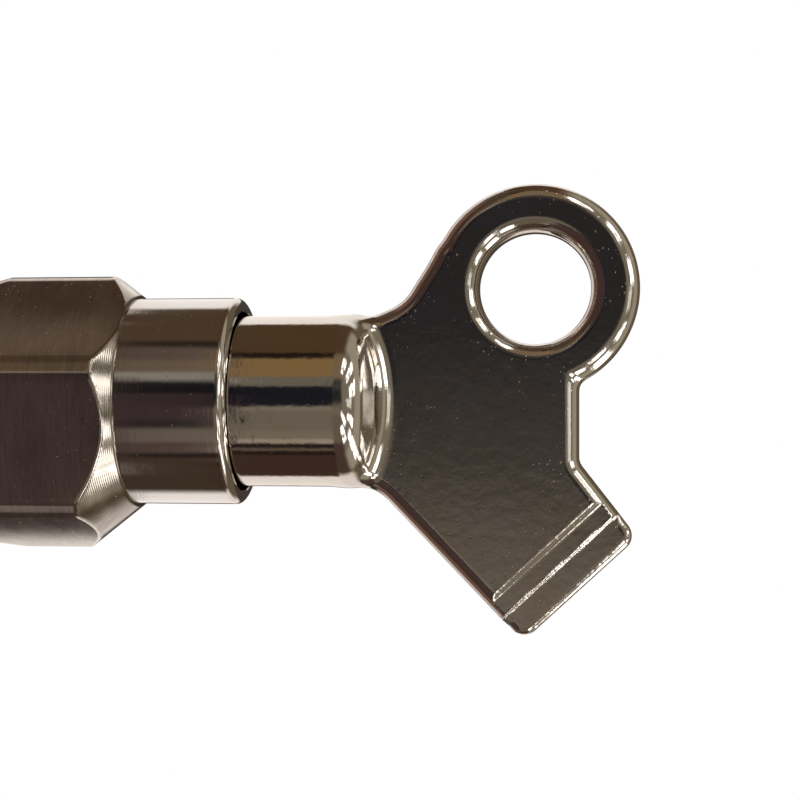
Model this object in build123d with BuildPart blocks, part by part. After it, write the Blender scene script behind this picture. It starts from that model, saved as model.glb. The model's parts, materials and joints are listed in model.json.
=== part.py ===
"""Radiator bleed key seated on the key-operated valve head that it works.

Everything turns about the X axis. X = 0 is the face of the valve body that the head
screws into, +X points out towards the key, and the key's flat plate lies in the XZ plane.
All sizes are in millimetres.
"""

import os
from math import atan2, cos, hypot, pi, radians, sin, sqrt

from build123d import *

# ---------------------------------------------------------------- driving sizes
# key
shank_radius = 5.72
shank_edge = 0.9
shank_reach = 8.69  # from the collar's rim to the shoulder of the shank
dome_rise = 1.55
socket_spare_depth = 0.6  # room past the end of the square
mouth_bevel = 0.5
plate_thickness = 3.2
plate_edge = 0.8
ring_hole_radius = 3.67
ring_wall = 3.28
ring_offset = 10.81  # along X from the shoulder of the shank
ring_height = 7.4
ring_join_angle = 151  # where the throat runs into the ring
neck_inset = 0.3  # the plate leaves the shank this far inside its outline
blade_bevel_length = 3.6
blade_step_length = 2.05
blade_bevel_height = 0.4
blade_tip_thickness = 1.5
# corners of the plate: along X from the shoulder of the shank, then out from the neck
foot_place = (-2.65, -0.4)  # buried in the shank, above and below
heel_top_place = (-0.45, -0.05)
heel_bottom_place = (-0.65, 0.05)
throat_top_place = (2.15, 1.08)
throat_bottom_place = (0.75, 0.78)
# corners of the plate: along X from the shoulder of the shank, then up from the axis
notch_place = (13.7, -4.05)
blade_right_place = (17.5, -8.93)
blade_left_place = (9.89, -16.04)
ring_overlap = 1.0  # the edge above the notch runs this far into the ring
throat_top_rounding = 3.0
throat_bottom_rounding = 4.0
blade_rounding = 1.0  # the notch and the two corners of the blade

# guard collar pressed into the nose
collar_wall = 0.91
collar_reach = 7.15  # how far it stands out of the nose
collar_seat = 2.4  # how deep it is pressed in
rim_bevel_length = 0.48
rim_bevel_height = 0.72

# hexagon and its turned nose
hexagon_wall = 0.18  # least metal outside the collar's seat
hexagon_corner = 0.9  # the corners are turned to this much outside the flats
hexagon_length = 10.8  # shoulder to the end of the nose cone
hexagon_drop = 0.85  # the bar stock sits this far below the turned axis
hexagon_back = 1.1  # and this far behind it, towards +Y
hexagon_turn = 41.4  # angle of one corner from +Y towards +Z
turning_spare = 0.1  # the turned outline clears the bar's corners by this much
shoulder_bevel_length = 1.9
shoulder_bevel_height = 0.5
nose_slope = 0.78  # radius lost per millimetre along the cone
nose_step = 0.22  # the cone ends this far above the collar

# threaded spigot, G 1/4
spigot_radius = 6.5785
spigot_length = 9.0
spigot_bevel = 0.6
runout_depth = 0.38

# seal between the shoulder and the valve body
seal_gap = 1.3
seal_section = 1.2

# spindle
stem_radius = 3.2
square_af = 5.0
square_length = 7.1
square_bevel = 0.4
square_foot = 1.5  # from the floor of the collar
flange_width = 0.9
flange_thickness = 1.13
flange_depth = 1.0  # from the shoulder to the floor that the flange's washer rubs on
spindle_thread_radius = 2.5
spindle_thread_length = 6.7
spindle_neck_depth = 0.4
spindle_neck_length = 0.65
oring_section = 0.98
oring_room = 0.07  # radial room for a rubber ring between its groove and the bore
oring_groove_width = 1.3
oring_places = (1.2, 4.2)  # groove centres, measured from the washer's floor

# rings and washers on the spindle
slide_washer_thickness = 0.8
clip_washer_thickness = 0.5
clip_washer_width = 1.6
clip_thickness = 0.7
clip_width = 1.2  # outside the stem
clip_groove_depth = 0.6
clip_mouth = 2.6
clip_nose = 0.5  # rounding of the two ends

# valve carrier, guided by a hexagon bore
carrier_corner_bevel = 0.12
carrier_lift = 2.5  # travel from closed to open
carrier_head_radius = 5.0
carrier_head_thickness = 2.4
disc_rim = 0.75  # wall of the head round the disc
disc_thickness = 1.8
disc_recess = 1.2
disc_washer_radius = 2.9
disc_washer_thickness = 0.4
screw_radius = 1.5
screw_head_radius = 2.6
screw_head_thickness = 1.4
screw_head_taper = 12
screw_length = 4.2
screw_slot_width = 0.8
screw_slot_depth = 0.6

# clearances of the fits
shank_clearance = 0.3  # radial, shank in the collar
running_clearance = 0.05  # radial, shafts in bores
sliding_clearance = 0.05  # each side, carrier in its hexagon guide
flange_clearance = 0.1  # radial, flange inside the flats of the guide
thread_clearance = 0.03  # radial, spindle thread in the carrier
seal_clearance = 0.02  # rubber rings clear of the metal round them
square_clearance = 0.1  # each side, key on the spindle's square
end_clearance = 0.02  # along X, between faces that rub
stop_clearance = 0.25  # left at the ends of the carrier's travel
mouth_clearance = 0.5  # from the foot of the square to the mouth of the key
disc_clearance = 0.05  # round the valve disc
cut_spare = 1.0  # cuts run this far past the metal

# ---------------------------------------------------------------- derived sizes
ring_radius = ring_hole_radius + ring_wall
collar_bore_radius = shank_radius + shank_clearance
collar_radius = collar_bore_radius + collar_wall
hexagon_offset = hypot(hexagon_drop, hexagon_back)
hexagon_af = 2 * (collar_radius + hexagon_wall + hexagon_offset)
hexagon_corner_radius = hexagon_af / 2 + hexagon_corner
stock_radius = hexagon_corner_radius + hexagon_offset + turning_spare
bar_centre = (0, hexagon_back, -hexagon_drop)
nose_radius = collar_radius + nose_step
shoulder_radius = hexagon_corner_radius - shoulder_bevel_height
runout_radius = spigot_radius - runout_depth

stem_bore_radius = stem_radius + running_clearance
washer_bore_radius = stem_bore_radius + running_clearance
oring_groove_radius = stem_bore_radius - oring_section - oring_room
oring_centre_radius = oring_groove_radius + seal_clearance + oring_section / 2
clip_groove_radius = stem_radius - clip_groove_depth
flange_radius = stem_radius + flange_width
guide_af = 2 * (flange_radius + flange_clearance)
carrier_af = guide_af - 2 * sliding_clearance
carrier_corner_radius = carrier_af / sqrt(3) - carrier_corner_bevel
carrier_bore_radius = spindle_thread_radius + thread_clearance
disc_radius = carrier_head_radius - disc_rim - disc_clearance
socket_af = square_af + 2 * square_clearance

# ---------------------------------------------------------------- derived places along X
shoulder_x = seal_gap
nose_x = shoulder_x + hexagon_length
cone_start_x = nose_x - (stock_radius - nose_radius) / nose_slope
collar_floor_x = nose_x - collar_seat
rim_x = nose_x + collar_reach

guide_floor_x = shoulder_x + flange_depth
flange_face_x = guide_floor_x - slide_washer_thickness - end_clearance
flange_back_x = flange_face_x - flange_thickness
thread_start_x = flange_back_x - spindle_neck_length
spindle_end_x = thread_start_x - spindle_thread_length
square_foot_x = collar_floor_x + square_foot
square_end_x = square_foot_x + square_length
clip_x = collar_floor_x + clip_washer_thickness + 2 * end_clearance

carrier_x = flange_back_x - stop_clearance - carrier_lift
carrier_head_x = -spigot_length - carrier_lift - stop_clearance
carrier_bore_end_x = spindle_end_x - stop_clearance - carrier_lift
disc_x = carrier_head_x - carrier_head_thickness + disc_recess
disc_washer_x = disc_x - disc_thickness
screw_head_x = disc_washer_x - disc_washer_thickness

mouth_x = square_foot_x + mouth_clearance
socket_end_x = square_end_x + socket_spare_depth
shank_shoulder_x = rim_x + shank_reach
ring_x = shank_shoulder_x + ring_offset

AXIS = Axis.X


def hexagon_radius(across_flats):
    """Corner radius of a sharp hexagon."""
    return across_flats / sqrt(3)


def ring_profile(inner, outer, start, end):
    """Half section of a plain ring, for turning about X."""
    with BuildSketch(Plane.XY) as profile:
        with Locations(((start + end) / 2, (inner + outer) / 2)):
            Rectangle(end - start, outer - inner)
    return profile.sketch


def turned_ring(inner, outer, start, end):
    """A plain washer between two places on the axis."""
    with BuildPart() as ring:
        add(ring_profile(inner, outer, start, end))
        revolve(axis=AXIS)
    return ring.part


def groove(centre_x, width, floor_radius):
    """Cuts a square groove into the half section of the spindle's stem."""
    depth = stem_radius - floor_radius
    with Locations((centre_x, stem_radius)):
        Rectangle(width, 2 * depth, mode=Mode.SUBTRACT)


def rubber_ring(centre_x, centre_radius, section):
    """A round-section sealing ring about the axis."""
    with BuildPart() as ring:
        with BuildSketch(Plane.XY):
            with Locations((centre_x, centre_radius)):
                Circle(section / 2)
        revolve(axis=AXIS)
    return ring.part


def finish(piece, name):
    """Labels a piece and writes it to its own file."""
    piece.label = name
    export_step(piece, f"parts/{name}.step")


os.makedirs("parts", exist_ok=True)

# ---------------------------------------------------------------- bonnet
with BuildPart() as bonnet:
    # the turned envelope: room for the bar, the cone and a flat end
    with BuildSketch(Plane.XY):
        with BuildLine():
            Polyline(
                (shoulder_x, 0),
                (shoulder_x, stock_radius),
                (cone_start_x, stock_radius),
                (nose_x, nose_radius),
                (nose_x, 0),
                close=True,
            )
        make_face()
    revolve(axis=AXIS)
    # the bar stock: a hexagon, off the turned axis
    with BuildSketch(Plane.YZ.offset(shoulder_x)):
        with Locations((hexagon_back, -hexagon_drop)):
            RegularPolygon(hexagon_radius(hexagon_af), 6, rotation=hexagon_turn)
    extrude(amount=hexagon_length, mode=Mode.INTERSECT)
    # its corners, turned and bevelled about its own axis
    with BuildSketch(Plane(bar_centre)):
        with BuildLine():
            Polyline(
                (shoulder_x, 0),
                (shoulder_x, shoulder_radius),
                (shoulder_x + shoulder_bevel_length, hexagon_corner_radius),
                (nose_x, hexagon_corner_radius),
                (nose_x, 0),
                close=True,
            )
        make_face()
    revolve(axis=Axis(bar_centre, AXIS.direction), mode=Mode.INTERSECT)
    # the spigot and its run-out neck
    with BuildSketch(Plane.XY):
        with BuildLine():
            Polyline(
                (shoulder_x, 0),
                (shoulder_x, runout_radius),
                (0, runout_radius),
                (0, spigot_radius),
                (spigot_bevel - spigot_length, spigot_radius),
                (-spigot_length, spigot_radius - spigot_bevel),
                (-spigot_length, 0),
                close=True,
            )
        make_face()
    revolve(axis=AXIS)
    # the bore for the stem and the seat of the collar
    with BuildSketch(Plane.YZ.offset(nose_x)):
        Circle(collar_radius)
    extrude(amount=-collar_seat, mode=Mode.SUBTRACT)
    with BuildSketch(Plane.YZ.offset(nose_x)):
        Circle(stem_bore_radius)
    extrude(amount=guide_floor_x - nose_x, mode=Mode.SUBTRACT)
    # the hexagon guide that stops the carrier from turning
    with BuildSketch(Plane.YZ.offset(-spigot_length)):
        RegularPolygon(hexagon_radius(guide_af), 6)
    extrude(amount=spigot_length + guide_floor_x, mode=Mode.SUBTRACT)
finish(bonnet.part, "bonnet")

# ---------------------------------------------------------------- guard collar
with BuildPart() as guard_collar:
    with BuildSketch(Plane.XY):
        with BuildLine():
            Polyline(
                (collar_floor_x, collar_bore_radius),
                (collar_floor_x, collar_radius),
                (rim_x - rim_bevel_length, collar_radius),
                (rim_x, collar_radius - rim_bevel_height),
                (rim_x, collar_bore_radius),
                close=True,
            )
        make_face()
    revolve(axis=AXIS)
finish(guard_collar.part, "guard_collar")

# ---------------------------------------------------------------- seals and washers of the bonnet
bonnet_seal_ring = rubber_ring(
    shoulder_x - seal_gap / 2,
    runout_radius + seal_clearance + seal_section / 2,
    seal_section,
)
finish(bonnet_seal_ring, "bonnet_seal_ring")

slide_washer = turned_ring(
    washer_bore_radius, flange_radius, guide_floor_x - slide_washer_thickness, guide_floor_x
)
finish(slide_washer, "slide_washer")

clip_washer = turned_ring(
    washer_bore_radius,
    stem_radius + clip_washer_width,
    collar_floor_x,
    collar_floor_x + clip_washer_thickness,
)
finish(clip_washer, "clip_washer")

# ---------------------------------------------------------------- spindle
with BuildPart() as spindle:
    with BuildSketch(Plane.XY):
        with BuildLine():
            Polyline(
                (spindle_end_x, 0),
                (spindle_end_x, spindle_thread_radius - spindle_neck_depth),
                (spindle_end_x + spindle_neck_depth, spindle_thread_radius),
                (thread_start_x, spindle_thread_radius),
                (thread_start_x, spindle_thread_radius - spindle_neck_depth),
                (flange_back_x, spindle_thread_radius - spindle_neck_depth),
                (flange_back_x, flange_radius),
                (flange_face_x, flange_radius),
                (flange_face_x, stem_radius),
                (square_end_x - square_bevel, stem_radius),
                (square_end_x, stem_radius - square_bevel),
                (square_end_x, 0),
                close=True,
            )
        make_face()
        # grooves for the two rubber rings and the retaining ring
        for place in oring_places:
            groove(guide_floor_x + place, oring_groove_width, oring_groove_radius)
        groove(clip_x + clip_thickness / 2, clip_thickness + 2 * end_clearance, clip_groove_radius)
    revolve(axis=AXIS)
    # the square that the key drives
    with BuildSketch(Plane.YZ.offset(square_foot_x)):
        Circle(stem_radius + cut_spare)
        Rectangle(square_af, square_af, mode=Mode.SUBTRACT)
    extrude(amount=square_length, mode=Mode.SUBTRACT)
finish(spindle.part, "spindle")

for name, place in zip(("spindle_ring_inner", "spindle_ring_outer"), oring_places):
    finish(rubber_ring(guide_floor_x + place, oring_centre_radius, oring_section), name)

clip_radius = stem_radius + clip_width
with BuildPart() as spindle_clip:
    with BuildSketch(Plane.YZ.offset(clip_x)) as clip:
        Circle(clip_radius)
        Circle(clip_groove_radius + end_clearance, mode=Mode.SUBTRACT)
        with Locations((0, clip_radius)):
            Rectangle(clip_mouth, 2 * clip_radius, mode=Mode.SUBTRACT)
        fillet(clip.vertices(), clip_nose)
    extrude(amount=clip_thickness)
finish(spindle_clip.part, "spindle_clip")

# ---------------------------------------------------------------- valve carrier
with BuildPart() as valve_carrier:
    with BuildSketch(Plane.YZ.offset(carrier_x)):
        RegularPolygon(hexagon_radius(carrier_af), 6)
        Circle(carrier_corner_radius, mode=Mode.INTERSECT)
    extrude(amount=carrier_head_x - carrier_x)
    with BuildSketch(Plane.YZ.offset(carrier_head_x)):
        Circle(carrier_head_radius)
    extrude(amount=-carrier_head_thickness)
    with BuildSketch(Plane.YZ.offset(carrier_x)):
        Circle(carrier_bore_radius)
    extrude(amount=carrier_bore_end_x - carrier_x, mode=Mode.SUBTRACT)
    with BuildSketch(Plane.YZ.offset(disc_x)):
        Circle(disc_radius + disc_clearance)
    extrude(amount=-carrier_head_thickness, mode=Mode.SUBTRACT)
    with BuildSketch(Plane.YZ.offset(screw_head_x)):
        Circle(screw_radius)
    extrude(amount=screw_length, mode=Mode.SUBTRACT)
finish(valve_carrier.part, "valve_carrier")

finish(
    turned_ring(screw_radius, disc_radius, disc_washer_x, disc_x),
    "valve_disc",
)
finish(
    turned_ring(screw_radius, disc_washer_radius, screw_head_x, disc_washer_x),
    "disc_washer",
)

with BuildPart() as disc_screw:
    with BuildSketch(Plane.YZ.offset(screw_head_x)):
        Circle(screw_radius)
    extrude(amount=screw_length)
    with BuildSketch(Plane.YZ.offset(screw_head_x)):
        Circle(screw_head_radius)
    extrude(amount=-screw_head_thickness, taper=screw_head_taper)
    with BuildSketch(Plane.YZ.offset(screw_head_x - screw_head_thickness)):
        Rectangle(screw_slot_width, 2 * screw_head_radius)
    extrude(amount=screw_slot_depth, mode=Mode.SUBTRACT)
finish(disc_screw.part, "disc_screw")

# ---------------------------------------------------------------- key
def from_shoulder(place):
    """A corner of the plate, measured from the shank's shoulder on the axis."""
    return (shank_shoulder_x + place[0], place[1])


def from_neck(place, side):
    """A corner of the plate beside the shank, above it for side 1 and below it for side -1."""
    return (shank_shoulder_x + place[0], side * (neck + place[1]))


neck = shank_radius - neck_inset
ring_centre = (ring_x, ring_height)
ring_join = (
    ring_x + ring_radius * cos(radians(ring_join_angle)),
    ring_height + ring_radius * sin(radians(ring_join_angle)),
)
throat_top = from_neck(throat_top_place, 1)
throat_bottom = from_neck(throat_bottom_place, -1)
notch = from_shoulder(notch_place)
blade_right = from_shoulder(blade_right_place)
blade_left = from_shoulder(blade_left_place)
blade_run = (blade_right[0] - blade_left[0], blade_right[1] - blade_left[1])
blade_width = hypot(*blade_run)
blade_middle = ((blade_right[0] + blade_left[0]) / 2, (blade_right[1] + blade_left[1]) / 2)
blade_along = atan2(blade_run[1], blade_run[0]) - pi / 2
half_plate = plate_thickness / 2
half_tip = blade_tip_thickness / 2

with BuildPart() as key:
    # the flat plate: ring above, blade below
    with BuildSketch(Plane.XZ) as outline:
        with BuildLine():
            Polyline(
                from_neck(foot_place, 1),
                from_neck(heel_top_place, 1),
                throat_top,
                ring_join,
                ring_centre,
                (notch[0], ring_height - ring_radius + ring_overlap),
                notch,
                blade_right,
                blade_left,
                throat_bottom,
                from_neck(heel_bottom_place, -1),
                from_neck(foot_place, -1),
                close=True,
            )
        make_face()
        with Locations(ring_centre):
            Circle(ring_radius)
        for corner, radius in (
            (throat_top, throat_top_rounding),
            (throat_bottom, throat_bottom_rounding),
            (notch, blade_rounding),
            (blade_right, blade_rounding),
            (blade_left, blade_rounding),
        ):
            fillet(outline.vertices().sort_by_distance(Vector(*corner))[0], radius)
        with Locations(ring_centre):
            Circle(ring_hole_radius, mode=Mode.SUBTRACT)
    extrude(amount=half_plate, both=True)
    faces_of_plate = key.faces().filter_by(Axis.Y)
    fillet(faces_of_plate.edges(), plate_edge)
    # the blade: a bevel, a step and a thin flat tip on both faces
    blade_plane = Plane(
        origin=(blade_middle[0], 0, blade_middle[1]),
        x_dir=(cos(blade_along), 0, sin(blade_along)),
        z_dir=(-sin(blade_along), 0, cos(blade_along)),
    )
    with BuildSketch(blade_plane) as relief:
        with BuildLine():
            Polyline(
                (-blade_bevel_length, half_plate),
                (-blade_step_length, half_plate - blade_bevel_height),
                (-blade_step_length, half_tip),
                (cut_spare, half_tip),
                (cut_spare, half_plate + cut_spare),
                (-blade_bevel_length, half_plate + cut_spare),
                close=True,
            )
        make_face()
        mirror(about=Plane.XZ)
    extrude(amount=blade_width / 2 + cut_spare, both=True, mode=Mode.SUBTRACT)
    # the round shank with its domed shoulder
    with BuildSketch(Plane.XY) as shank:
        dome_foot = (shank_shoulder_x, shank_radius)
        with BuildLine():
            SagittaArc(dome_foot, (shank_shoulder_x, -shank_radius), -dome_rise)
            Line((shank_shoulder_x, -shank_radius), (mouth_x, -shank_radius))
            Line((mouth_x, -shank_radius), (mouth_x, shank_radius))
            Line((mouth_x, shank_radius), dome_foot)
        make_face()
        fillet(shank.vertices().group_by(Axis.X)[-1], shank_edge)
        chamfer(shank.vertices().group_by(Axis.X)[0], mouth_bevel)
        split(bisect_by=Plane.XZ)
    revolve(axis=AXIS)
    # the square socket
    with BuildSketch(Plane.YZ.offset(mouth_x)):
        Rectangle(socket_af, socket_af)
    extrude(amount=socket_end_x - mouth_x, mode=Mode.SUBTRACT)
finish(key.part, "key")
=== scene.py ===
"""Looks of a radiator bleed key and of the key-operated valve head that it sits in.

Shapes are worked out in millimetres in the row frame: X is the turned axis, +X points out
towards the key, and the key's plate lies in the XZ plane with its front face towards -Y.
"""

import json
from math import cos, pi, radians, sin, tan

import bpy
import numpy as np
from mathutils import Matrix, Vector


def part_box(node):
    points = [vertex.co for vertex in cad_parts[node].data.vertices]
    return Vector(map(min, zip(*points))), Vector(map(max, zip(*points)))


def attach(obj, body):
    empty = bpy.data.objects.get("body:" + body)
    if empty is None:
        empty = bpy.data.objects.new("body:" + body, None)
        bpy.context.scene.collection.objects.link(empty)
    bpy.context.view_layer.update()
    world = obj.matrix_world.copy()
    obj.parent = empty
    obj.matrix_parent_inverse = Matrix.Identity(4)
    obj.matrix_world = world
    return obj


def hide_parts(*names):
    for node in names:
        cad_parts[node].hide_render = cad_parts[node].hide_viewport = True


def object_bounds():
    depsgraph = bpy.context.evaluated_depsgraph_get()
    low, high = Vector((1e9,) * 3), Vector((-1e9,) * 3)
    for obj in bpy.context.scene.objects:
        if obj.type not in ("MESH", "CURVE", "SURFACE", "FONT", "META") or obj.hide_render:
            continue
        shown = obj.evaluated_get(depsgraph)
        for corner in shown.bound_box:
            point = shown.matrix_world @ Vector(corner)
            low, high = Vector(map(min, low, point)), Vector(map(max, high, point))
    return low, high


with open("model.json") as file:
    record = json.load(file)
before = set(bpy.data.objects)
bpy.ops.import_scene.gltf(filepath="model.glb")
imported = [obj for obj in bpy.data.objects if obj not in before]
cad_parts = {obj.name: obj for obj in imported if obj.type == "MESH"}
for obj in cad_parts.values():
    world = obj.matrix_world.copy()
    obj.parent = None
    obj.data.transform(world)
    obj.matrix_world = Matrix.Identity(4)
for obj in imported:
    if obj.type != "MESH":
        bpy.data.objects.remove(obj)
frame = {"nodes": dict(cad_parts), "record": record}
cad_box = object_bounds()

MM = 0.001


def box_mm(node):
    """Lowest and highest corner of a CAD node, in millimetres."""
    lo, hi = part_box(node)
    return lo / MM, hi / MM


# ---------------------------------------------------------------- places taken from the frame
mounts = {mount["name"]: mount for mount in frame["record"]["mounts"]}
ring_x, _, ring_z = (c / MM for c in mounts["hanging_hole"]["pos_m"])
hole_radius = mounts["hanging_hole"]["dims"]["r_mm"]
key_lo, key_hi = box_mm("key")
bonnet_lo, bonnet_hi = box_mm("bonnet")
collar_lo, collar_hi = box_mm("guard_collar")
spindle_lo, spindle_hi = box_mm("spindle")
carrier_lo, carrier_hi = box_mm("valve_carrier")
disc_lo, disc_hi = box_mm("valve_disc")
ring_radius = key_hi.z - ring_z - 0.1
shank_radius = key_hi.y
mouth_x = key_lo.x
shoulder_x = ring_x - 10.81


# ---------------------------------------------------------------- shader wiring
class Wire:
    """One output of a node. Arithmetic on it adds Math nodes to its tree."""

    def __init__(self, tree, socket=None):
        self.tree = tree
        self.socket = socket

    def node(self, kind, settings, sockets, output=0):
        """A node of this kind: its settings first, then the values or links of its sockets."""
        made = self.tree.nodes.new(kind)
        for name, value in settings.items():
            if name == "stops":
                set_stops(made.color_ramp, value)
            else:
                setattr(made, name, value)
        for name, value in sockets.items():
            if isinstance(value, Wire):
                self.tree.links.new(value.socket, made.inputs[name])
            else:
                made.inputs[name].default_value = value
        return None if output is None else Wire(self.tree, made.outputs[output])

    def math(self, operation, *others):
        """A Math node with this wire as its first value."""
        values = dict(enumerate((self, *others)))
        return self.node("ShaderNodeMath", {"operation": operation}, values)

    def __add__(self, other):
        return self.math("ADD", other)

    __radd__ = __add__

    def __mul__(self, other):
        return self.math("MULTIPLY", other)

    __rmul__ = __mul__

    def __sub__(self, other):
        return self.math("SUBTRACT", other)

    def __rsub__(self, other):
        return (self * -1.0) + other

    def __truediv__(self, other):
        return self.math("DIVIDE", other)

    def __neg__(self):
        return self * -1.0

    def __abs__(self):
        return self.math("ABSOLUTE")

    def clamp(self):
        """Kept between 0 and 1."""
        return self.node("ShaderNodeClamp", {}, {"Value": self})

    def rise(self, low, high):
        """0 at low and below, 1 at high and above, smooth between."""
        sockets = {"Value": self, "From Min": low, "From Max": high}
        return self.node("ShaderNodeMapRange", {"interpolation_type": "SMOOTHSTEP"}, sockets)

    def window(self, centre, half, soft):
        """1 within half of centre, falling to 0 over soft."""
        return 1.0 - abs(self - centre).rise(half, half + soft)

    def parts(self):
        """The three parts of a vector."""
        split = self.node("ShaderNodeSeparateXYZ", {}, {"Vector": self}).socket.node
        return [Wire(self.tree, out) for out in split.outputs]

    def times(self, x, y, z):
        """A vector with each part scaled."""
        sockets = {0: self, 1: (x, y, z)}
        return self.node("ShaderNodeVectorMath", {"operation": "MULTIPLY"}, sockets)

    def turned(self, axis, angle):
        """A vector turned about an axis, in degrees."""
        sockets = {"Vector": self, "Axis": axis, "Angle": radians(angle)}
        return self.node("ShaderNodeVectorRotate", {"rotation_type": "AXIS_ANGLE"}, sockets)

    def noise(self, scale, detail=2.0, rough=0.5, warp=0.0):
        """Noise over this vector, about 0 to 1."""
        sockets = {
            "Vector": self, "Scale": scale, "Detail": detail, "Roughness": rough,
            "Distortion": warp,
        }
        return self.node("ShaderNodeTexNoise", {}, sockets)

    def dots(self, scale, size, share):
        """Round spots of this size, in cells, on this share of the cells."""
        near = self.node("ShaderNodeTexVoronoi", {}, {"Vector": self, "Scale": scale})
        pick = Wire(self.tree, near.socket.node.outputs["Color"]).parts()[0]
        return (1.0 - near.rise(size * 0.4, size)) * (1.0 - pick.rise(share, share + 0.02))

    def ramp(self, stops):
        """A colour for each value, from stops of place and colour."""
        return self.node("ShaderNodeValToRGB", {"stops": stops}, {"Fac": self})

    def mix(self, low, high):
        """A colour between two, by this share."""
        sockets = {"Factor": self, 6: low, 7: high}
        return self.node("ShaderNodeMix", {"data_type": "RGBA"}, sockets, 2)


def set_stops(ramp, stops):
    """Gives a colour ramp its stops of place and colour."""
    while len(ramp.elements) < len(stops):
        ramp.elements.new(1.0)
    for element, (place, colour) in zip(ramp.elements, stops):
        element.position = place
        element.color = colour


def paint(red, green, blue, gain=1.0):
    """A colour from 0 to 255 as the eye sees it, as light."""
    light = [((c / 255 + 0.055) / 1.055) ** 2.4 if c > 10 else c / 3294 for c in (red, green, blue)]
    return (*(gain * c for c in light), 1.0)


# ---------------------------------------------------------------- materials
def new_material(name):
    """An empty material, its first wire in millimetres of the row frame, and its tree."""
    made = bpy.data.materials.new(name)
    made.use_nodes = True
    made.node_tree.nodes.clear()
    own = Wire(made.node_tree).node("ShaderNodeTexCoord", {}, {}, "Object")
    return made, own.times(1 / MM, 1 / MM, 1 / MM)


def surface(place, height, colour, roughness, metallic=1.0):
    """A Principled surface with a bump of this height, in millimetres."""
    bump = place.node("ShaderNodeBump", {}, {"Strength": 1.0, "Distance": MM, "Height": height})
    sockets = {
        "Base Color": colour, "Roughness": roughness, "Metallic": metallic, "Normal": bump,
    }
    shader = place.node("ShaderNodeBsdfPrincipled", {}, sockets, "BSDF")
    place.node("ShaderNodeOutputMaterial", {}, {"Surface": shader}, None)


def scratches(place, axis, angles, density, width, share):
    """Short straight scratches in a few directions, 1 on a scratch."""
    found = None
    for angle in angles:
        streak = place.turned(axis, angle).times(1.0, 1.0, 0.07).dots(density, width, share)
        found = streak if found is None else found.math("MAXIMUM", streak)
    return found


NICKEL = paint(206, 202, 198)
NICKEL_WARM = paint(204, 197, 188)
NICKEL_DULL = paint(180, 172, 168)
# A darker nickel for the turned cone: painted shade, standing in for the dimmer light that the cone
# mirrors.
NICKEL_SHADED = paint(150, 143, 136)


# ---------------------------------------------------------------- mesh tools
def new_piece(name, points, faces, body, slot, nodes, materials, normals=None):
    """A mesh in millimetres that stands for CAD nodes and rides on their body."""
    mesh = bpy.data.meshes.new(name)
    mesh.from_pydata((np.asarray(points) * MM).tolist(), [], faces)
    for material in materials:
        mesh.materials.append(material)
    mesh.shade_smooth()
    if normals is None:
        mesh.set_sharp_from_angle(angle=radians(SHARP_ANGLE))
    else:
        mesh.normals_split_custom_set_from_vertices(normals.tolist())
    piece = bpy.data.objects.new(name, mesh)
    bpy.context.scene.collection.objects.link(piece)
    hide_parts(*nodes)
    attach(piece, body)
    return piece


SHARP_ANGLE = 28
SIDES = 360  # points in one turn, a multiple of twelve so that squares and hexagons get theirs
turn = np.arange(SIDES) * 2 * pi / SIDES  # from +Y towards +Z


def circle(x, radius):
    """One ring of points about the axis; x and radius may vary round the turn."""
    ones = np.ones(SIDES)
    return np.stack([x * ones, radius * np.cos(turn), radius * np.sin(turn)], 1)


def skin(rings, closed=True):
    """Points and faces of a surface through rings; it closes on itself or has flat ends."""
    count = len(rings)
    index = np.arange(count * SIDES).reshape(count, SIDES)
    after = np.roll(index, -1, 0) if closed else index[1:]
    before = index if closed else index[:-1]
    corners = (before, np.roll(before, -1, 1), np.roll(after, -1, 1), after)
    faces = np.stack(corners, 2).reshape(-1, 4).tolist()
    if not closed:
        faces += [index[0][::-1].tolist(), index[-1].tolist()]
    return np.concatenate(rings), faces


def lathe(profile):
    """Rings through the points of a half section, given as x and radius."""
    return [circle(x, radius) for x, radius in profile]


def arc(centre, radius, start, end, steps):
    """Points of a half section round a corner; angles in degrees from +X towards outwards."""
    angles = np.radians(np.linspace(start, end, steps))
    return [(centre[0] + radius * cos(a), centre[1] + radius * sin(a)) for a in angles]


def smooth_min(a, b, reach):
    """The lesser of two distances, rounded where they come within reach of each other."""
    share = np.maximum(reach - np.abs(a - b), 0) / reach
    return np.minimum(a, b) - share * share * reach / 4


def smooth_max(a, b, reach):
    """The greater of two distances, rounded where they come within reach of each other."""
    return -smooth_min(-a, -b, reach)


def flats(across, sides, first, reach, middle=0j, crown=0.0):
    """Radius of a bar with flat sides round the turn; first is one flat's angle from +Y."""
    radius = np.full(SIDES, 1e3)
    for angle in np.radians(first + 360 / sides * np.arange(sides)):
        facing = np.maximum(np.cos(turn - angle), 1e-3)
        out = across / 2 + (middle * np.exp(-1j * angle)).real
        side = out * np.tan(turn - angle) - (middle * np.exp(-1j * angle)).imag
        fall = crown * np.minimum((side * 4 / across) ** 2, 1)
        radius = smooth_min(radius, (out - fall) / facing, reach)
    return radius


# ---------------------------------------------------------------- key
plate_half = 1.6
plate_rounding = 1.05
ring_fillet = 0.5
neck = shank_radius - 0.3
dome_back = 0.55  # the shank's round shoulder starts this far before the flat one
dome_rise = 1.5
shoulder_rounding = 1.1
neck_fillet = 1.1
mouth_rounding = 0.5
socket_half = 2.6
socket_end = mouth_x + 7.2
ledge_reach = 3.45  # middle of the soft first step of the blade
ledge_half = 0.3
ledge_depth = 0.2
step_reach = 2.05
tip_half = 0.75
step_edge = 0.12
tip_edge = 0.6
VOXEL = 0.15


def plate_corner(along, up, fillet):
    """A corner of the plate as a complex number, from the shoulder on the axis, and its fillet."""
    return complex(shoulder_x + along, up), fillet


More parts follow.
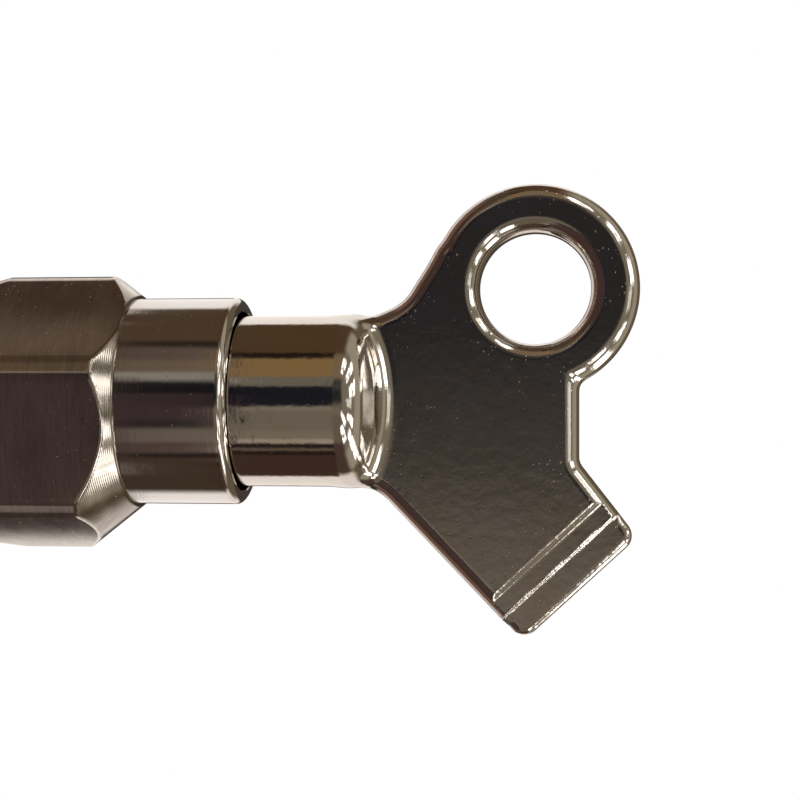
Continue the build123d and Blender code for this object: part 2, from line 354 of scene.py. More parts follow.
join = radians(151)
plate_outline = [
    plate_corner(-2.65, -neck + 0.4, 0),
    plate_corner(-0.65, -neck - 0.05, 0),
    plate_corner(0.75, -neck - 0.78, 4.0),
    plate_corner(10.05, -15.84, 0),
    plate_corner(17.5, -8.93, 0),
    plate_corner(13.7, -4.05, 1.0),
    plate_corner(13.7, ring_z - ring_radius + 2.4, 0),
    plate_corner(10.81, ring_z, 0),
    plate_corner(10.81 + ring_radius * cos(join), ring_z + ring_radius * sin(join), 0),
    plate_corner(2.15, neck + 1.08, 3.0),
    plate_corner(-0.45, neck - 0.05, 0),
    plate_corner(-2.65, neck - 0.4, 0),
]
blade_left, blade_right = plate_outline[3][0], plate_outline[4][0]
blade_middle = (blade_left + blade_right) / 2
blade_out = (blade_right - blade_left) / abs(blade_right - blade_left) * -1j


def unit(way):
    """A complex number of length one."""
    return way / abs(way)


def inset(outline, depth):
    """Corners of an anticlockwise outline moved inwards, their fillets grown by as much."""
    moved = []
    for i, (here, fillet) in enumerate(outline):
        before = unit(here - outline[i - 1][0]) * 1j
        after = unit(outline[(i + 1) % len(outline)][0] - here) * 1j
        shift = (before + after) / (1 + (before * after.conjugate()).real)
        moved.append((here + depth * shift, fillet + depth if fillet else 0))
    return moved


def with_fillets(outline, steps=14):
    """Points along an outline, with arcs where its corners have a fillet."""
    path = []
    for i, (here, fillet) in enumerate(outline):
        if not fillet:
            path.append(here)
            continue
        back = unit(outline[i - 1][0] - here)
        onward = unit(outline[(i + 1) % len(outline)][0] - here)
        half = np.angle(onward / back) / 2
        centre = here + unit(back + onward) * fillet / abs(sin(half))
        start = here + back * fillet / abs(tan(half)) - centre
        sweep = np.angle((here + onward * fillet / abs(tan(half)) - centre) / start)
        path += [centre + start * np.exp(1j * sweep * t) for t in np.linspace(0, 1, steps)]
    return np.array(path)


plate_core = with_fillets(inset(plate_outline, plate_rounding))


def outline_distance(x, z, path):
    """Distance of points from a closed path, negative inside it."""
    start, end = path, np.roll(path, -1)
    run = end - start
    found = np.empty(len(x))
    for some in np.array_split(np.arange(len(x)), len(x) // 4000 + 1):
        point = (x[some] + 1j * z[some])[:, None]
        along = np.clip((np.conj(run) * (point - start)).real / np.abs(run) ** 2, 0, 1)
        away = np.abs(point - start - along * run).min(1)
        spans = (start.imag > point.imag) != (end.imag > point.imag)
        rise = np.where(run.imag == 0, 1.0, run.imag)
        crossing = start.real + (point.imag - start.imag) / rise * run.real
        inside = (spans & (point.real < crossing)).sum(1) % 2 == 1
        found[some] = np.where(inside, -away, away)
    return found


def blade_reach(x, z):
    """How far points lie past the edge of the blade."""
    return (x - blade_middle.real) * blade_out.real + (z - blade_middle.imag) * blade_out.imag


def plate_distance(x, y, z):
    """Distance from the plate: a flat core with round edges, relieved along the blade."""
    from_ring = np.hypot(x - ring_x, z - ring_z)
    core = outline_distance(x, z, plate_core)
    core = smooth_min(core, from_ring - (ring_radius - plate_rounding), ring_fillet)
    core = np.maximum(core, hole_radius + plate_rounding - from_ring)
    out = np.abs(y) - (plate_half - plate_rounding)
    outside = np.hypot(np.maximum(core, 0), np.maximum(out, 0))
    plate = np.minimum(np.maximum(core, out), 0) + outside - plate_rounding
    reach = blade_reach(x, z)
    share = np.clip((reach + ledge_reach) / ledge_half / 2 + 0.5, 0, 1)
    ledge = np.abs(y) - plate_half + ledge_depth * share * share * (3 - 2 * share)
    plate = np.maximum(plate, ledge)
    tip = smooth_min(reach + step_reach, np.abs(y) - tip_half, step_edge)
    share = np.clip((reach + step_reach) / tip_edge, 0, 1)
    return smooth_max(plate, tip, step_edge + (tip_edge - step_edge) * share)


def key_distance(points):
    """Distance of points from the surface of the key, negative inside."""
    x, y, z = points.T
    radius = np.hypot(y, z)
    dome_radius = (shank_radius**2 + dome_rise**2) / (2 * dome_rise)
    dome_top = shoulder_x - dome_back + dome_rise
    dome = np.hypot(x - (dome_top - dome_radius), radius) - dome_radius
    shank = smooth_max(radius - shank_radius, dome, shoulder_rounding)
    shank = smooth_max(shank, mouth_x - x, mouth_rounding)
    body = smooth_min(shank, plate_distance(x, y, z), neck_fillet)
    socket = np.maximum(np.maximum(np.abs(y), np.abs(z)) - socket_half, x - socket_end)
    return np.maximum(body, -socket)


def slopes(points, step):
    """Slope of the key's distance at points, and how sharply the surface bends there."""
    here = key_distance(points)
    ways = np.eye(3) * step
    sides = [(key_distance(points + way), key_distance(points - way)) for way in ways]
    slope = np.stack([(a - b) / (2 * step) for a, b in sides], 1)
    bend = sum(a + b - 2 * here for a, b in sides) / step**2
    return here, slope, bend


def make_key(material):
    """The key: its CAD shape remeshed, then drawn onto the cast shape with its round edges."""
    rough = bpy.data.objects.new("rough_key", frame["nodes"]["key"].data.copy())
    bpy.context.scene.collection.objects.link(rough)
    rough.data.transform(((1 / MM, 0, 0, 0), (0, 1 / MM, 0, 0), (0, 0, 1 / MM, 0), (0, 0, 0, 1)))
    remesh = rough.modifiers.new("remesh", "REMESH")
    remesh.mode, remesh.voxel_size = "VOXEL", VOXEL
    ready = rough.evaluated_get(bpy.context.evaluated_depsgraph_get())
    mesh = bpy.data.meshes.new_from_object(ready)
    points = np.array([v.co for v in mesh.vertices], float).reshape(-1, 3)
    faces = [tuple(p.vertices) for p in mesh.polygons]
    bpy.data.objects.remove(rough)
    for _ in range(4):
        here, slope, _ = slopes(points, 0.01)
        steep = np.maximum((slope**2).sum(1), 0.3)
        points -= slope * np.clip(here / steep, -VOXEL * 3, VOXEL * 3)[:, None]
    _, slope, bend = slopes(points, 0.03)
    normals = slope / np.linalg.norm(slope, axis=1)[:, None]
    piece = new_piece(
        "cast_key", points, faces, "key", "plated_key", ["key"], [material], normals
    )
    edges = piece.data.attributes.new("edge_wear", "FLOAT", "POINT")
    edges.data.foreach_set("value", np.clip(bend / 4, 0, 1).astype(np.float32))
    reach = blade_reach(points[:, 0], points[:, 2])
    lines = np.exp(-(((reach + step_reach) / 0.14) ** 2)) * (np.abs(points[:, 1]) > 0.6)
    marks = piece.data.attributes.new("blade_line", "FLOAT", "POINT")
    marks.data.foreach_set("value", lines.astype(np.float32))
    return piece


# ---------------------------------------------------------------- bonnet
hexagon_af = 17.0
hexagon_corner = 9.4
hexagon_first = 11.4
hexagon_middle = 1.1 - 0.85j  # of the bar's section: towards +Y and +Z from the turned axis
corner_blend = 0.12
back_bevel = 0.5  # taken off the corners at the shoulder
back_bevel_slope = 0.263
spigot_length = 9.0
seal_gap = 1.3
spigot_start = bonnet_lo.x
nose_x = bonnet_hi.x
seat_x = spigot_start + spigot_length + seal_gap
nose_radius = 7.15
nose_slope = 0.78
seal_neck = 6.1985
seat_edge = 0.1
crest = 6.5785
thread_depth = 0.84
thread_step = 0.09
pitch = 1.337
entry_drop = 0.9  # the thread's first ring lies this far below the crest
entry_bevel = 0.75
runout_start = 0.75
runout_length = 0.7
guide_af = 8.4
guide_floor = seat_x + 1.0
guide_middle = -4.0
guide_mouth = 0.4
guide_flare = 0.35
bore_radius = 3.25
bore_edge = 0.1
collar_seat = 2.4
seat_room = 0.01
collar_radius = collar_hi.y
collar_bore = 6.02
rim_bevel_length = 0.48
rim_bevel_height = 0.72
sleeve_edge = 0.1
GAP = 0.02  # between the ends of a thread and the rings beside it
RIM = 0.06  # width of a small broken edge
EDGE = 0.09
CROWN = 0.09  # the flats roll off by this much towards their corners


def bar_radius(x):
    """Outline of the hexagon bar: crowned flats, and corners turned about the bar's middle."""
    bar = flats(hexagon_af, 6, hexagon_first, EDGE, hexagon_middle, CROWN)
    corner = hexagon_corner - max(0.0, back_bevel - (x - seat_x) * back_bevel_slope)
    along = hexagon_middle.real * np.cos(turn) + hexagon_middle.imag * np.sin(turn)
    corners = along + np.sqrt(corner**2 - abs(hexagon_middle) ** 2 + along**2)
    return smooth_min(bar, corners, corner_blend)


def turned_radius(x):
    """Outline of the nose cone that the lathe leaves on the bar."""
    return nose_radius + (nose_x - x) * nose_slope


def thread_radius(x, root, top, lead, hand):
    """Radius of a screw thread round the turn at this place."""
    wave = np.cos(2 * pi * (x / lead) - hand * turn)
    flank = np.arcsin(0.96 * wave) / np.arcsin(0.96)
    return (root + top) / 2 + flank * (top - root) / 2


def make_bonnet(bar_finish, lathe_finish):
    """The head: pipe thread, seal neck, hexagon with its cone, collar seat, bores and guide."""
    rings = [circle(spigot_start, crest - entry_drop)]
    for x in np.arange(spigot_start + GAP, -GAP, thread_step):
        thread = thread_radius(x, crest - thread_depth, crest, pitch, 1)
        thread = np.minimum(thread, crest - entry_bevel + (x - spigot_start))
        ease = np.clip((x + runout_start) / runout_length, 0, 1)
        rings.append(circle(x, thread * (1 - ease) + seal_neck * ease))
    rings += lathe([
        (0.0, seal_neck), (seat_x - seat_edge, seal_neck), (seat_x, seal_neck + seat_edge),
    ])
    head_start = len(rings)
    rings.append(circle(seat_x, bar_radius(seat_x) - RIM))
    spans = (  # start, end and number of rings
        (seat_x + RIM, seat_x + 3.4, 28),
        (seat_x + 3.5, nose_x - 5, 24),
        (nose_x - 4.9, nose_x - 0.05, 60),
    )
    for low, high, count in spans:
        for x in np.linspace(low, high, count):
            rings.append(circle(x, smooth_min(bar_radius(x), turned_radius(x), EDGE)))
    head_end = len(rings)
    seat_floor = nose_x - collar_seat
    rings += lathe([
        (nose_x, nose_radius - RIM), (nose_x, collar_radius + seat_room),
        (seat_floor, collar_radius + seat_room), (seat_floor, bore_radius + bore_edge),
        (seat_floor - bore_edge, bore_radius), (guide_floor, bore_radius),
    ])
    guide = flats(guide_af, 6, 30.0, 0.02)
    rings += [circle(x, guide) for x in (guide_floor, guide_middle, spigot_start + guide_mouth)]
    rings.append(circle(spigot_start, guide + guide_flare))
    points, faces = skin(rings)
    piece = new_piece(
        "hexagon_head", points, faces, "valve_head", "plated_bonnet", ["bonnet"],
        [bar_finish, lathe_finish],
    )
    lathed = np.ones(len(faces), np.int32)
    places = points.reshape(len(rings), SIDES, 3)
    for i in range(head_start + 1, head_end - 1):
        x = (places[i, 0, 0] + places[i + 1, 0, 0]) / 2
        lathed[i * SIDES:(i + 1) * SIDES] = turned_radius(x) < bar_radius(x)
    piece.data.polygons.foreach_set("material_index", lathed)
    return piece


def make_collar(material):
    """The guard collar: a turned sleeve with a rounded, bevelled rim."""
    start, rim_x = collar_lo.x, collar_hi.x
    bevel_x, bevel_r = rim_x - rim_bevel_length, collar_radius - rim_bevel_height
    profile = [(start, collar_bore + 2 * sleeve_edge), (start, collar_radius - sleeve_edge)]
    for x in (start + sleeve_edge, start + 2 * sleeve_edge, bevel_x - sleeve_edge, bevel_x - 0.03):
        profile.append((x, collar_radius))
    for angle in np.radians(np.linspace(10, 84, 9)):
        x = bevel_x + rim_bevel_length * sin(angle)
        profile.append((x, bevel_r + rim_bevel_height * cos(angle)))
    profile.append((rim_x, collar_bore + 0.08))
    profile.append((rim_x - RIM, collar_bore))
    profile.append((start + 2 * sleeve_edge, collar_bore))
    return new_piece(
        "guard_sleeve", *skin(lathe(profile)), "valve_head", "plated_collar",
        ["guard_collar"], [material],
    )


# ---------------------------------------------------------------- inner pieces
def make_seal(name, node, body, slot, material):
    """A round-section rubber ring, read from its CAD node's box."""
    lo, hi = box_mm(node)
    section = (hi.x - lo.x) / 2
    profile = arc(((lo.x + hi.x) / 2, hi.y - section), section, 0, -345, 24)
    return new_piece(name, *skin(lathe(profile)), body, slot, [node], [material])


screw_root, screw_crest, screw_lead = 1.95, 2.5, 1.0
screw_neck = 2.1
screw_end = -0.45
stem_radius = 3.2
flange_profile = [  # place on the axis and radius, up to the foot of the stem
    (-0.3, screw_neck), (0.35, screw_neck), (0.35, 4.0), (0.45, 4.1),
    (1.38, 4.1), (1.48, 4.0), (1.48, stem_radius),
]
stem_grooves = ((3.5, 1.3, 2.2), (6.5, 1.3, 2.2), (10.59, 0.74, 2.6))  # middle, width and floor
square_af = 5.0
square_foot = 11.2


def make_spindle(material):
    """The spindle: left-hand thread, flange, stem with its grooves, and the driving square."""
    end, tip = spindle_lo.x, spindle_hi.x
    rings = [circle(end, 2.05)]
    for x in np.arange(end + 0.03, screw_end, 0.07):
        thread = thread_radius(x, screw_root, screw_crest, screw_lead, -1)
        rings.append(circle(x, np.minimum(thread, screw_neck + (x - end))))
    rings += lathe(flange_profile)
    for middle, width, floor in stem_grooves:
        low, high = middle - width / 2, middle + width / 2
        rings += lathe([
            (low - RIM, stem_radius), (low, stem_radius - RIM), (low, floor),
            (high, floor), (high, stem_radius - RIM), (high + RIM, stem_radius),
        ])
    square = np.minimum(flats(square_af, 4, 0.0, 0.05), stem_radius)
    rings += [circle(square_foot - RIM, stem_radius), circle(square_foot, stem_radius - RIM)]
    rings.append(circle(square_foot, square))
    rings += [circle(tip - 0.4, square), circle(tip - 0.2, square - 0.18), circle(tip, square - 0.45)]
    return new_piece(
        "spindle_bar", *skin(rings, closed=False), "spindle", "spindle_brass",
        ["spindle"], [material],
    )


carrier_af = 8.3
carrier_corner = 4.67
head_radius = 5.0
head_length = 2.4
head_bevel = 0.2
disc_room = 4.25
screw_radius = 1.5
nut_bore = 2.53
nut_depth = 7.35


def make_carrier(material):
    """The carrier: a hexagon that slides in its guide, with a round head for the rubber disc."""
    start, end = carrier_lo.x, carrier_hi.x
    hexagon = np.minimum(flats(carrier_af, 6, 30.0, 0.05), carrier_corner)
    rings = lathe([
        (disc_hi.x, screw_radius), (disc_hi.x, disc_room), (start + 0.15, disc_room),
        (start, 4.4), (start, head_radius - head_bevel), (start + head_bevel, head_radius),
        (start + head_length - head_bevel, head_radius),
        (start + head_length, head_radius - head_bevel),
    ])
    rings += [circle(start + head_length, hexagon), circle(end - 0.2, hexagon)]
    rings += [circle(end, hexagon - 0.3), circle(end, 2.7), circle(end - 0.2, nut_bore)]
    rings += [circle(end - nut_depth, nut_bore), circle(end - nut_depth, screw_radius)]
    return new_piece(
        "carrier_block", *skin(rings), "carrier", "bare_brass", ["valve_carrier"], [material]
    )


def make_disc(material):
    """The rubber disc that shuts the valve, with rounded edges."""
    lo, hi, outer = disc_lo.x, disc_hi.x, disc_hi.y
    edge, rounding = 0.1, 0.4
    profile = [(hi, screw_radius), (hi, outer - edge), (hi - edge, outer)]
    profile += arc((lo + rounding, outer - rounding), rounding, 90, 180, 7)
    profile += [(lo, screw_radius)]
    return new_piece(
        "rubber_disc", *skin(lathe(profile[::-1])), "carrier", "disc_rubber", ["valve_disc"],
        [material],
    )


# ---------------------------------------------------------------- finishes
def cast_nickel():
    """Polished nickel on a zinc casting: mirror-like, with peel, specks and fine scratches."""
    made, place = new_material("cast_nickel")
    worn = place.node("ShaderNodeAttribute", {"attribute_name": "edge_wear"}, {}, "Fac")
    line = place.node("ShaderNodeAttribute", {"attribute_name": "blade_line"}, {}, "Fac")
    broad = place.noise(0.35, 3.0)
    peel = place.noise(1.1, 2.0, 0.45)
    grain = place.noise(9.0, 3.0, 0.6)
    rain = place.times(6.0, 1.0, 1.0).noise(1.3, 3.0, 0.6)
    specks = place.dots(2.2, 0.24, 0.2).math("MAXIMUM", place.dots(4.5, 0.26, 0.16))
    on_plate = place.parts()[0].rise(shoulder_x, shoulder_x + 3.0) * 0.85 + 0.15
    specks = specks * place.noise(0.22, 1.0).rise(0.38, 0.58) * on_plate
    lines = scratches(place, (0, 1, 0), (-38, 21, 74), 1.1, 0.05, 0.22)
    beads = line * place.noise(5.5, 1.0).rise(0.35, 0.65)
    roughness = 0.04 + broad * 0.06 + specks * 0.35 + lines * 0.16 + worn * 0.03
    colour = broad.rise(0.3, 0.7).mix(NICKEL, NICKEL_WARM)
    colour = (specks * 0.7).mix(colour, paint(236, 232, 228))
    height = peel * 0.008 + grain * 0.0006 + rain * on_plate * 0.0016
    height = height + place.noise(3.0, 1.0) * (0.0018 + worn * 0.009)
    height = height - specks * 0.006 - lines * 0.0015 + beads * 0.004
    surface(place, height, colour, roughness)
    return made


def hairlines(place, pitch_count, seed):
    """Fine turning grain round the X axis."""
    return place.times(pitch_count, 0.35, 0.35).noise(1.0, 2.0, 0.7) + place.times(
        pitch_count * 0.27, 0.2, 0.2
    ).noise(1.0 + seed * 0.01, 1.0)


def turned_nickel(name, groove, depth, gloss, tone_and_shade):
    """Nickel over a turned surface: tool marks of this pitch and depth, grain and scratches; where
    the darker nickel is given, its tone is painted shade.
    """
    made, place = new_material(name)
    along = place.parts()[0]
    grain = hairlines(place, 11.0, 1)
    marks = (along * (2 * pi / groove)).math("SINE") if groove else 0.0
    lines = scratches(place, (1, 0, 0), (10, 75, 130), 1.3, 0.05, 0.3)
    long_lines = scratches(place, (0, 1, 0), (-64, -72), 0.8, 0.045, 0.10)
    broad = place.noise(0.5, 2.0)
    nicks = place.dots(3.2, 0.2, 0.07)
    wear = lines * 0.5 + long_lines
    roughness = gloss + broad * 0.03 + grain * 0.03 + wear.clamp() * 0.15 + nicks * 0.2
    # Where the given tone is the darker nickel, this colour carries painted shade.
    colour = broad.rise(0.4, 0.8).mix(tone_and_shade, NICKEL_WARM)
    colour = (nicks + wear * 0.5).clamp().mix(colour, paint(232, 228, 222))
    height = grain * 0.0008 + place.noise(0.9) * 0.003 - wear * 0.003 - nicks * 0.004
    if groove:
        height = height + marks * depth
    surface(place, height, colour, roughness)
    return made


def drawn_nickel():
    """Duller nickel over drawn hexagon bar: vertical grain on the flats, small nicks."""
    made, place = new_material("drawn_nickel")
    grain = hairlines(place, 9.0, 2)
    broad = place.times(1.0, 0.5, 0.5).noise(0.45, 3.0)
    brushed = place.times(5.0, 0.6, 0.6).noise(1.0, 3.0, 0.65)
    nicks = place.dots(3.4, 0.16, 0.08).math("MAXIMUM", place.dots(5.4, 0.2, 0.05))
    lines = scratches(place, (1, 0, 0), (15, 62, 118), 0.9, 0.04, 0.3)
    roughness = 0.06 + broad * 0.05 + grain * 0.04 + nicks * 0.2 + lines * 0.1
    colour = (brushed * 0.5 + broad * 0.5).rise(0.35, 0.65).mix(NICKEL_DULL, NICKEL_WARM)
    colour = (nicks + lines * 0.5).clamp().mix(colour, paint(226, 220, 214))
    height = grain * 0.0016 + brushed * 0.002 - nicks * 0.005 - lines * 0.002
    surface(place, height, colour, roughness)
    return made


def turned_brass(name, light, dark):
    """Bare turned brass: tool marks, a slight tarnish and small scratches."""
    made, place = new_material(name)
    grain = hairlines(place, 9.0, 3)
    tarnish = place.noise(0.6, 3.0, 0.6)
    lines = scratches(place, (1, 0, 0), (25, 95), 1.2, 0.05, 0.3)
    colour = tarnish.rise(0.35, 0.75).mix(light, dark)
    roughness = 0.2 + tarnish * 0.15 + grain * 0.06 + lines * 0.1
    surface(place, grain * 0.003 + tarnish * 0.003 - lines * 0.003, colour, roughness)
    return made


def moulded_rubber(name):
    """Black sealing rubber with a fine bloom and a slight sheen."""
    made, place = new_material(name)
    bloom = place.noise(1.4, 4.0, 0.6)
    fine = place.noise(14.0, 3.0)
    colour = bloom.rise(0.35, 0.8).mix(paint(26, 26, 27), paint(52, 52, 54))
    surface(place, fine * 0.006 + bloom * 0.01, colour, 0.42 + bloom * 0.2, 0.0)
    return made


def slide_plastic():
    """Natural white plastic with a satin face and fine turning grain."""
    made, place = new_material("slide_plastic")
    cloud = place.noise(0.8, 3.0)
    colour = cloud.mix(paint(224, 221, 211), paint(206, 203, 192))
    surface(place, hairlines(place, 8.0, 4) * 0.004, colour, 0.35 + cloud * 0.12, 0.0)
    return made


def spring_steel():
    """Bright stainless strip: rolled grain, blued shading and small scratches."""
    made, place = new_material("spring_steel")
    grain = place.times(0.6, 10.0, 0.8).noise(1.0, 3.0)
    cloud = place.noise(0.9, 3.0)
    lines = scratches(place, (1, 0, 0), (35, 80, 140), 1.4, 0.05, 0.3)
    colour = cloud.rise(0.3, 0.7).mix(paint(168, 170, 174), paint(150, 151, 154))
    surface(place, grain * 0.003 - lines * 0.003, colour, 0.2 + grain * 0.08 + lines * 0.1)
    return made


# ---------------------------------------------------------------- studio
YAW = radians(6.71)
AIM = ring_x - 8.99
CAMERA_REACH = 113.3  # from the camera to the axis, along its view
camera_x = AIM + CAMERA_REACH * sin(YAW)
camera_distance = CAMERA_REACH * cos(YAW)
MIRROR_RADIUS = 6.3  # of a round piece, about that of the collar and the shank
GLOSS = 1.55  # the plating gives back this much less than the light it mirrors
# What the plating mirrors, in bands round the axis: 0 is the front, -90 straight below, 90
# straight above and 180 the back. Each piece has bands of its own, and they fall on it only
# in the view of the camera below; from other places they lie elsewhere.
HEXAGON_BANDS = (
    (-180, -166, (70, 62, 58)),
    (-162, -150.5, (214, 208, 200)),
    (-147, -120, (52, 43, 39)),
    (-112, -92, (60, 50, 46)),
    (-88, -76, (114, 106, 100)),
    (-70, -50, (64, 52, 50)),
    (-44, -19, (64, 52, 52)),
    (-16, 9, (58, 47, 48)),
    (14, 26, (58, 48, 44)),
    (28, 31, (128, 118, 106)),
    (34, 44, (86, 72, 56)),
    (50, 92, (72, 58, 46)),
    (95, 98, (100, 86, 74)),
    (101, 112, (64, 50, 40)),
    (118, 150, (208, 200, 194)),
    (160, 180, (70, 60, 56)),
)
COLLAR_BANDS = (
    (-180, -164, (60, 52, 48)),
    (-160, -128, (226, 220, 216)),
    (-116, -66, (60, 48, 38)),
    (-64, -61, (34, 27, 24)),
    (-58, -48, (74, 60, 55)),
    (-44, -32, (97, 88, 79)),
    (-27, -22, (36, 29, 31)),
    (-19, 7, (52, 40, 43)),
    (9, 20, (20, 19, 23)),
    (25, 29, (130, 124, 114)),
    (33, 44, (96, 84, 72)),
    (48, 60, (82, 71, 66)),
    (64, 68, (40, 32, 26)),
    (72, 122, (72, 58, 45)),
    (128, 162, (230, 225, 221)),
    (165, 180, (60, 54, 50)),
)
SHANK_BANDS = (
    (-180, -164, (60, 52, 48)),
    (-160, -124, (222, 214, 208)),
    (-118, -78, (58, 42, 34)),
    (-74, -71, (30, 24, 22)),
    (-69, -66, (90, 76, 66)),
    (-64, -60, (34, 27, 25)),
    (-57, -53, (142, 132, 118)),
    (-50, -44, (113, 105, 92)),
    (-38, -14, (103, 96, 84)),
    (-11, -8, (114, 107, 94)),
    (-5, 18, (24, 25, 31)),
    (21, 30, (98, 94, 84)),
    (34, 57, (122, 97, 63)),
    (61, 66, (28, 22, 18)),
    (69, 124, (72, 54, 36)),
    (128, 162, (228, 222, 216)),
)
PLATE_BANDS = (
    (-180, -162, (60, 52, 48)),
    (-158, -120, (216, 208, 202)),
    (-112, -60, (70, 54, 46)),
    (-54, -22, (96, 86, 74)),
    (-14, -8, (104, 96, 86)),
    (-4.5, -4, (86, 79, 71)),
    (-1.5, -1, (60, 56, 53)),
    (2.5, 12, (38, 37, 38)),
    (18, 26, (60, 56, 52)),
    (32, 60, (112, 96, 76)),
    (68, 120, (74, 56, 42)),
    (128, 162, (228, 222, 216)),
    (165, 180, (60, 54, 50)),
)
RIGHT = (  # the same for what faces the key's end, by the angle away from the front
    (0, 12, (58, 53, 47)),
    (20, 70, (112, 106, 92)),
    (78, 108, (146, 138, 122)),
    (114, 150, (92, 82, 66)),
    (156, 180, (62, 54, 48)),
)
LEFT = (  # and for what faces the valve
    (0, 22, (38, 34, 36)),
    (28, 72, (64, 48, 42)),
    (80, 108, (104, 80, 70)),
    (114, 150, (206, 194, 190)),
    (158, 180, (70, 60, 58)),
)
LAMPS = (  # angle round the view from +X towards +Z, half width, angle away, half width, light
    (66, 5, 50, 8, 5.0),
    (40, 4, 58, 12, 5.0),
    (14, 6, 62, 10, 4.0),
    (-3, 5, 46, 9, 1.0),
    (-25, 4, 56, 9, 5.0),
    (-66, 5, 48, 8, 5.0),
    (-46, 5, 32, 7, 2.6),
    (-46, 5, 80, 20, 5.0),
)


def band_stops(bands, low, high):
    """Ramp stops for bands of colour between two angles."""
    stops = []
    for start, end, colour in bands:
        light = paint(*colour, gain=GLOSS)
        stops += [((start - low) / (high - low), light), ((end - low) / (high - low), light)]
    return stops


def mirrored_light(way):
    """The painted surroundings that the plating mirrors, and the light of their lamps."""
    x, y, z = way.parts()
    degrees = 180 / pi
    ripple = way.times(1.0, 6.0, 6.0).noise(2.2, 2.0, 0.6) - 0.5
    up = z.math("ARCTAN2", -y) * degrees
    away = (-y).math("ARCCOSINE") * degrees
    around = z.math("ARCTAN2", x) * degrees
    # where on the axis a round piece that mirrors this way into the camera would be
    depth = camera_distance - (up * radians(0.5)).math("COSINE") * MIRROR_RADIUS
    along = camera_x + x / (1.0 - x * x).math("SQRT") * depth
    place = (up + 180.0) / 360.0
    light = place.ramp(band_stops(HEXAGON_BANDS, -180, 180))
    place = place + ripple * (4.0 / 360.0)
    zones = ((nose_x, COLLAR_BANDS), (collar_hi.x, SHANK_BANDS), (shoulder_x, PLATE_BANDS))
    for start, bands in zones:
        share = along.rise(start - 0.3, start + 0.3)
        light = share.mix(light, place.ramp(band_stops(bands, -180, 180)))
    right = (away / 180.0).ramp(band_stops(RIGHT, 0, 180))
    left = (away / 180.0).ramp(band_stops(LEFT, 0, 180))
    light = x.rise(0.16, 0.4).mix(light, right)
    light = (-x).rise(0.42, 0.62).mix(light, left)
    lamps = None
    for turn_at, turn_half, away_at, away_half, strength in LAMPS:
        lamp = around.window(turn_at, turn_half, 4.0) * away.window(away_at, away_half, 6.0)
        lamps = lamp * strength if lamps is None else lamps + lamp * strength
    return light, lamps * way.noise(7.0, 2.0, 0.6).rise(0.36, 0.6)


def make_world():
    """White where the camera looks past the object, painted surroundings and lamps elsewhere."""
    world = bpy.data.worlds.new("studio")
    world.use_nodes = True
    world.node_tree.nodes.clear()
    start = Wire(world.node_tree)
    light, lamps = mirrored_light(start.node("ShaderNodeTexCoord", {}, {}, "Generated"))
    mirrored = start.node(
        "ShaderNodeEmission", {}, {"Color": light, "Strength": 1.0}, "Emission"
    )
    bright = start.node(
        "ShaderNodeEmission", {}, {"Color": (1, 0.98, 0.96, 1), "Strength": lamps}, "Emission"
    )
    room = start.node("ShaderNodeAddShader", {}, {0: mirrored, 1: bright})
    white = start.node(
        "ShaderNodeEmission", {}, {"Color": (1, 1, 1, 1), "Strength": 1.0}, "Emission"
    )
    seen = start.node("ShaderNodeLightPath", {}, {}, "Is Camera Ray")
    shown = start.node("ShaderNodeMixShader", {}, {0: seen, 1: room, 2: white})
    start.node("ShaderNodeOutputWorld", {}, {"Surface": shown}, None)
    bpy.context.scene.world = world


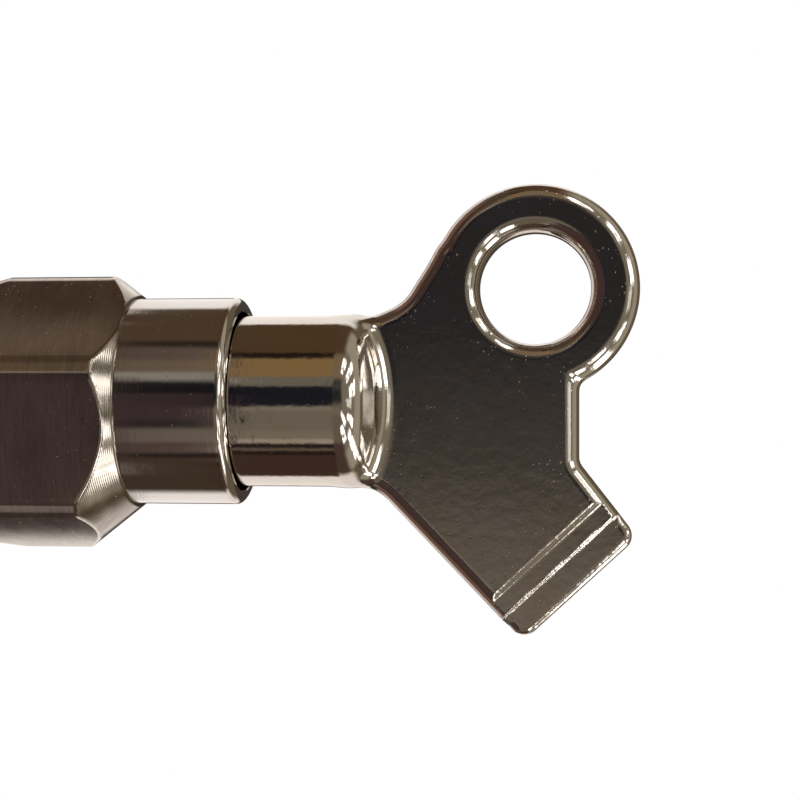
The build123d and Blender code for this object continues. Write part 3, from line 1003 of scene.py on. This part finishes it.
def make_floor():
    """A plain pale floor, well below the object; it lights nothing and nothing mirrors it."""
    half, drop = 3.0, 0.045
    level = cad_box[0].z - drop
    mesh = bpy.data.meshes.new("floor")
    corners = [(-half, -half, level), (half, -half, level), (half, half, level), (-half, half, level)]
    mesh.from_pydata(corners, [], [(0, 1, 2, 3)])
    made = bpy.data.materials.new("pale_floor")
    made.use_nodes = True
    made.node_tree.nodes.clear()
    start = Wire(made.node_tree)
    glow = start.node(
        "ShaderNodeEmission", {}, {"Color": (1, 1, 1, 1), "Strength": 1.0}, "Emission"
    )
    start.node("ShaderNodeOutputMaterial", {}, {"Surface": glow}, None)
    mesh.materials.append(made)
    floor = bpy.data.objects.new("floor", mesh)
    floor.visible_glossy = False
    floor.visible_diffuse = False
    bpy.context.scene.collection.objects.link(floor)


def make_camera():
    """A level camera in front of the plate, turned slightly towards the key's end."""
    data = bpy.data.cameras.new("camera")
    data.sensor_width, data.lens = 36.0, 76.5
    data.clip_start = 0.01
    camera = bpy.data.objects.new("camera", data)
    bpy.context.scene.collection.objects.link(camera)
    camera.location = Vector((camera_x, -camera_distance, 0.07)) * MM
    camera.rotation_euler = (radians(90), 0.0, YAW)
    bpy.context.scene.camera = camera


# ---------------------------------------------------------------- the object
make_key(cast_nickel())
# The cone's nickel is painted darker than the sleeve's: painted shade for the dimmer light it
# mirrors.
make_bonnet(drawn_nickel(), turned_nickel("coned_nickel", 0.11, 0.0009, 0.1, NICKEL_SHADED))
make_collar(turned_nickel("sleeve_nickel", 0.0, 0.0, 0.045, NICKEL))
rubber = moulded_rubber("moulded_rubber")
make_seal("bonnet_seal", "bonnet_seal_ring", "valve_head", "seal_rubber", rubber)
make_seal("inner_seal", "spindle_ring_inner", "spindle", "seal_rubber", rubber)
make_seal("outer_seal", "spindle_ring_outer", "spindle", "seal_rubber", rubber)
spindle_brass = turned_brass("spindle_brass", paint(222, 188, 112), paint(188, 150, 84))
bare_brass = turned_brass("bare_brass", paint(226, 190, 118), paint(176, 140, 80))
make_spindle(spindle_brass)
make_carrier(bare_brass)
make_disc(moulded_rubber("disc_rubber"))
steel = spring_steel()
kept_finishes = {
    "slide_washer": slide_plastic(),
    "clip_washer": bare_brass,
    "spindle_clip": steel,
    "disc_washer": steel,
    "disc_screw": bare_brass,
}
for node, finish in kept_finishes.items():
    mesh = frame["nodes"][node].data
    mesh.materials.clear()
    mesh.materials.append(finish)

make_world()
make_floor()
make_camera()
bpy.context.scene.view_settings.view_transform = "Standard"
